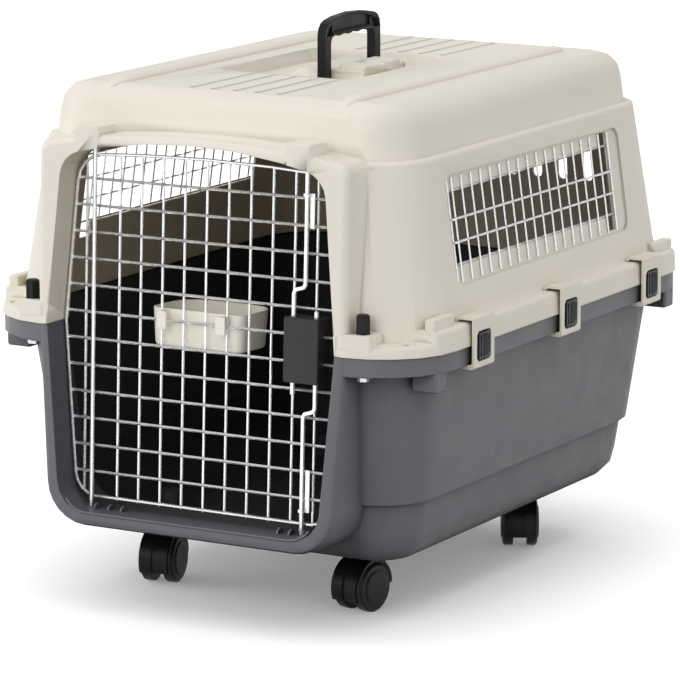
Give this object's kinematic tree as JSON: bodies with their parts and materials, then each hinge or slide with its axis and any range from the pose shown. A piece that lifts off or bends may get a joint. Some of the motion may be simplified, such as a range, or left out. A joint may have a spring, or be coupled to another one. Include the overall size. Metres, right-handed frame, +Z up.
{
  "type": "wheeled pet travel crate",
  "caption": "Two-part plastic pet crate with a hinged wire door, barred side windows, rim latches, folding handle, hanging bowl and swivel casters.",
  "frame": {"origin": "on the floor under the middle of the crate's width and depth", "axes": "+Z up, the door faces -Y, +X is to the right of someone who stands inside facing the rear, so to the right in a front view"},
  "size_m": [0.518, 0.6399, 0.5741],
  "materials": {
    "shell_cream": "fine grain, cream",
    "tub_grey": "fine grain, dark grey",
    "fitting_black": "satin, black",
    "clip_grey": "satin, dark grey",
    "wire_chrome": "bright plated steel wire",
    "steel_zinc": "zinc-plated steel"
  },
  "bodies": {
    "shell": {"upper_shell": "shell_cream", "lower_tub": "tub_grey", "window_grille_right": "wire_chrome", "window_grille_left": "wire_chrome", "handle_pin_front": "steel_zinc", "handle_pin_rear": "steel_zinc", "wing_nut_front_right": "steel_zinc", "wing_nut_rear_right": "steel_zinc", "wing_nut_front_left": "steel_zinc", "wing_nut_rear_left": "steel_zinc"},
    "door": {"door_grille": "wire_chrome", "hinge_rod": "wire_chrome", "latch_housing": "fitting_black", "latch_spring": "steel_zinc", "rod_guide_upper": "wire_chrome", "rod_guide_lower": "wire_chrome"},
    "upper_bolt_body": {"upper_bolt": "wire_chrome"},
    "lower_bolt_body": {"lower_bolt": "wire_chrome"},
    "bowl_body": {"bowl": "shell_cream"},
    "handle_body": {"handle": "fitting_black"},
    "rim_latch_front_right_body": {"rim_latch_front_right": "shell_cream"},
    "latch_button_front_right_body": {"latch_button_front_right": "clip_grey"},
    "rim_latch_middle_right_body": {"rim_latch_middle_right": "shell_cream"},
    "latch_button_middle_right_body": {"latch_button_middle_right": "clip_grey"},
    "rim_latch_rear_right_body": {"rim_latch_rear_right": "shell_cream"},
    "latch_button_rear_right_body": {"latch_button_rear_right": "clip_grey"},
    "rim_latch_front_left_body": {"rim_latch_front_left": "shell_cream"},
    "latch_button_front_left_body": {"latch_button_front_left": "clip_grey"},
    "rim_latch_middle_left_body": {"rim_latch_middle_left": "shell_cream"},
    "latch_button_middle_left_body": {"latch_button_middle_left": "clip_grey"},
    "rim_latch_rear_left_body": {"rim_latch_rear_left": "shell_cream"},
    "latch_button_rear_left_body": {"latch_button_rear_left": "clip_grey"},
    "wing_knob_front_right_body": {"wing_knob_front_right": "fitting_black"},
    "wing_knob_rear_right_body": {"wing_knob_rear_right": "fitting_black"},
    "wing_knob_front_left_body": {"wing_knob_front_left": "fitting_black"},
    "wing_knob_rear_left_body": {"wing_knob_rear_left": "fitting_black"},
    "caster_front_left": {"caster_hood_front_left": "fitting_black", "caster_stem_front_left": "steel_zinc"},
    "wheels_front_left": {"caster_axle_front_left": "steel_zinc", "caster_wheel_front_left_left": "fitting_black", "caster_wheel_front_left_right": "fitting_black"},
    "caster_front_right": {"caster_hood_front_right": "fitting_black", "caster_stem_front_right": "steel_zinc"},
    "wheels_front_right": {"caster_axle_front_right": "steel_zinc", "caster_wheel_front_right_left": "fitting_black", "caster_wheel_front_right_right": "fitting_black"},
    "caster_rear_left": {"caster_hood_rear_left": "fitting_black", "caster_stem_rear_left": "steel_zinc"},
    "wheels_rear_left": {"caster_axle_rear_left": "steel_zinc", "caster_wheel_rear_left_left": "fitting_black", "caster_wheel_rear_left_right": "fitting_black"},
    "caster_rear_right": {"caster_hood_rear_right": "fitting_black", "caster_stem_rear_right": "steel_zinc"},
    "wheels_rear_right": {"caster_axle_rear_right": "steel_zinc", "caster_wheel_rear_right_left": "fitting_black", "caster_wheel_rear_right_right": "fitting_black"}
  },
  "joints": [
    {"name": "door_swing", "type": "hinge", "parent": "shell", "child": "door", "pos_m": [-0.1262, -0.2893, 0.28626], "axis": [0, -0.041, -0.9992], "range_deg": [0, 110]},
    {"name": "upper_bolt_slide", "type": "slide", "parent": "door", "child": "upper_bolt_body", "axis": [0, 0.041, 0.9992], "range_m": [0, 0.008]},
    {"name": "lower_bolt_slide", "type": "slide", "parent": "door", "child": "lower_bolt_body", "axis": [0, -0.041, -0.9992], "range_m": [0, 0.008]},
    {"name": "bowl_lift", "type": "slide", "parent": "door", "child": "bowl_body", "axis": [0, 0.041, 0.9992], "range_m": [0, 0.011]},
    {"name": "handle_fold", "type": "hinge", "parent": "shell", "child": "handle_body", "pos_m": [0.0013, 0, 0.5145], "axis": [0, -1, 0], "range_deg": [0, 75]},
    {"name": "rim_latch_front_right_turn", "type": "hinge", "parent": "shell", "child": "rim_latch_front_right_body", "pos_m": [0.2396, -0.1875, 0.3119], "axis": [0, -1, 0], "range_deg": [0, 95]},
    {"name": "latch_button_front_right_press", "type": "slide", "parent": "rim_latch_front_right_body", "child": "latch_button_front_right_body", "axis": [-1, 0, 0], "range_m": [0, 0.001], "stiffness_N_per_m": 500},
    {"name": "rim_latch_middle_right_turn", "type": "hinge", "parent": "shell", "child": "rim_latch_middle_right_body", "pos_m": [0.2396, 0, 0.3119], "axis": [0, -1, 0], "range_deg": [0, 95]},
    {"name": "latch_button_middle_right_press", "type": "slide", "parent": "rim_latch_middle_right_body", "child": "latch_button_middle_right_body", "axis": [-1, 0, 0], "range_m": [0, 0.001], "stiffness_N_per_m": 500},
    {"name": "rim_latch_rear_right_turn", "type": "hinge", "parent": "shell", "child": "rim_latch_rear_right_body", "pos_m": [0.2396, 0.1875, 0.3119], "axis": [0, -1, 0], "range_deg": [0, 95]},
    {"name": "latch_button_rear_right_press", "type": "slide", "parent": "rim_latch_rear_right_body", "child": "latch_button_rear_right_body", "axis": [-1, 0, 0], "range_m": [0, 0.001], "stiffness_N_per_m": 500},
    {"name": "rim_latch_front_left_turn", "type": "hinge", "parent": "shell", "child": "rim_latch_front_left_body", "pos_m": [-0.2396, -0.1875, 0.3119], "axis": [0, 1, 0], "range_deg": [0, 95]},
    {"name": "latch_button_front_left_press", "type": "slide", "parent": "rim_latch_front_left_body", "child": "latch_button_front_left_body", "axis": [1, 0, 0], "range_m": [0, 0.001], "stiffness_N_per_m": 500},
    {"name": "rim_latch_middle_left_turn", "type": "hinge", "parent": "shell", "child": "rim_latch_middle_left_body", "pos_m": [-0.2396, 0, 0.3119], "axis": [0, 1, 0], "range_deg": [0, 95]},
    {"name": "latch_button_middle_left_press", "type": "slide", "parent": "rim_latch_middle_left_body", "child": "latch_button_middle_left_body", "axis": [1, 0, 0], "range_m": [0, 0.001], "stiffness_N_per_m": 500},
    {"name": "rim_latch_rear_left_turn", "type": "hinge", "parent": "shell", "child": "rim_latch_rear_left_body", "pos_m": [-0.2396, 0.1875, 0.3119], "axis": [0, 1, 0], "range_deg": [0, 95]},
    {"name": "latch_button_rear_left_press", "type": "slide", "parent": "rim_latch_rear_left_body", "child": "latch_button_rear_left_body", "axis": [1, 0, 0], "range_m": [0, 0.001], "stiffness_N_per_m": 500},
    {"name": "wing_knob_front_right_turn", "type": "hinge", "parent": "shell", "child": "wing_knob_front_right_body", "pos_m": [0.1885, -0.303, 0.32], "axis": [0, 0, 1], "continuous": true},
    {"name": "wing_knob_rear_right_turn", "type": "hinge", "parent": "shell", "child": "wing_knob_rear_right_body", "pos_m": [0.1885, 0.303, 0.32], "axis": [0, 0, 1], "continuous": true},
    {"name": "wing_knob_front_left_turn", "type": "hinge", "parent": "shell", "child": "wing_knob_front_left_body", "pos_m": [-0.1885, -0.303, 0.32], "axis": [0, 0, 1], "continuous": true},
    {"name": "wing_knob_rear_left_turn", "type": "hinge", "parent": "shell", "child": "wing_knob_rear_left_body", "pos_m": [-0.1885, 0.303, 0.32], "axis": [0, 0, 1], "continuous": true},
    {"name": "caster_front_left_swivel", "type": "hinge", "parent": "shell", "child": "caster_front_left", "pos_m": [-0.12, -0.157, 0.064], "axis": [0, 0, 1], "continuous": true},
    {"name": "wheels_front_left_roll", "type": "hinge", "parent": "caster_front_left", "child": "wheels_front_left", "pos_m": [-0.11565, -0.17857, 0.025], "axis": [0.9803, 0.1977, 0], "continuous": true},
    {"name": "caster_front_right_swivel", "type": "hinge", "parent": "shell", "child": "caster_front_right", "pos_m": [0.12, -0.157, 0.064], "axis": [0, 0, 1], "continuous": true},
    {"name": "wheels_front_right_roll", "type": "hinge", "parent": "caster_front_right", "child": "wheels_front_right", "pos_m": [0.11717, -0.17882, 0.025], "axis": [0.9917, -0.1288, 0], "continuous": true},
    {"name": "caster_rear_left_swivel", "type": "hinge", "parent": "shell", "child": "caster_rear_left", "pos_m": [-0.12, 0.157, 0.064], "axis": [0, 0, 1], "continuous": true},
    {"name": "wheels_rear_left_roll", "type": "hinge", "parent": "caster_rear_left", "child": "wheels_rear_left", "pos_m": [-0.12895, 0.1369, 0.025], "axis": [0.9135, -0.4067, 0], "continuous": true},
    {"name": "caster_rear_right_swivel", "type": "hinge", "parent": "shell", "child": "caster_rear_right", "pos_m": [0.12, 0.157, 0.064], "axis": [0, 0, 1], "continuous": true},
    {"name": "wheels_rear_right_roll", "type": "hinge", "parent": "caster_rear_right", "child": "wheels_rear_right", "pos_m": [0.13083, 0.13785, 0.025], "axis": [0.8704, 0.4924, 0], "continuous": true}
  ],
  "couplings": [
    {"joint": "lower_bolt_slide", "follows": "upper_bolt_slide", "ratio": 1}
  ]
}
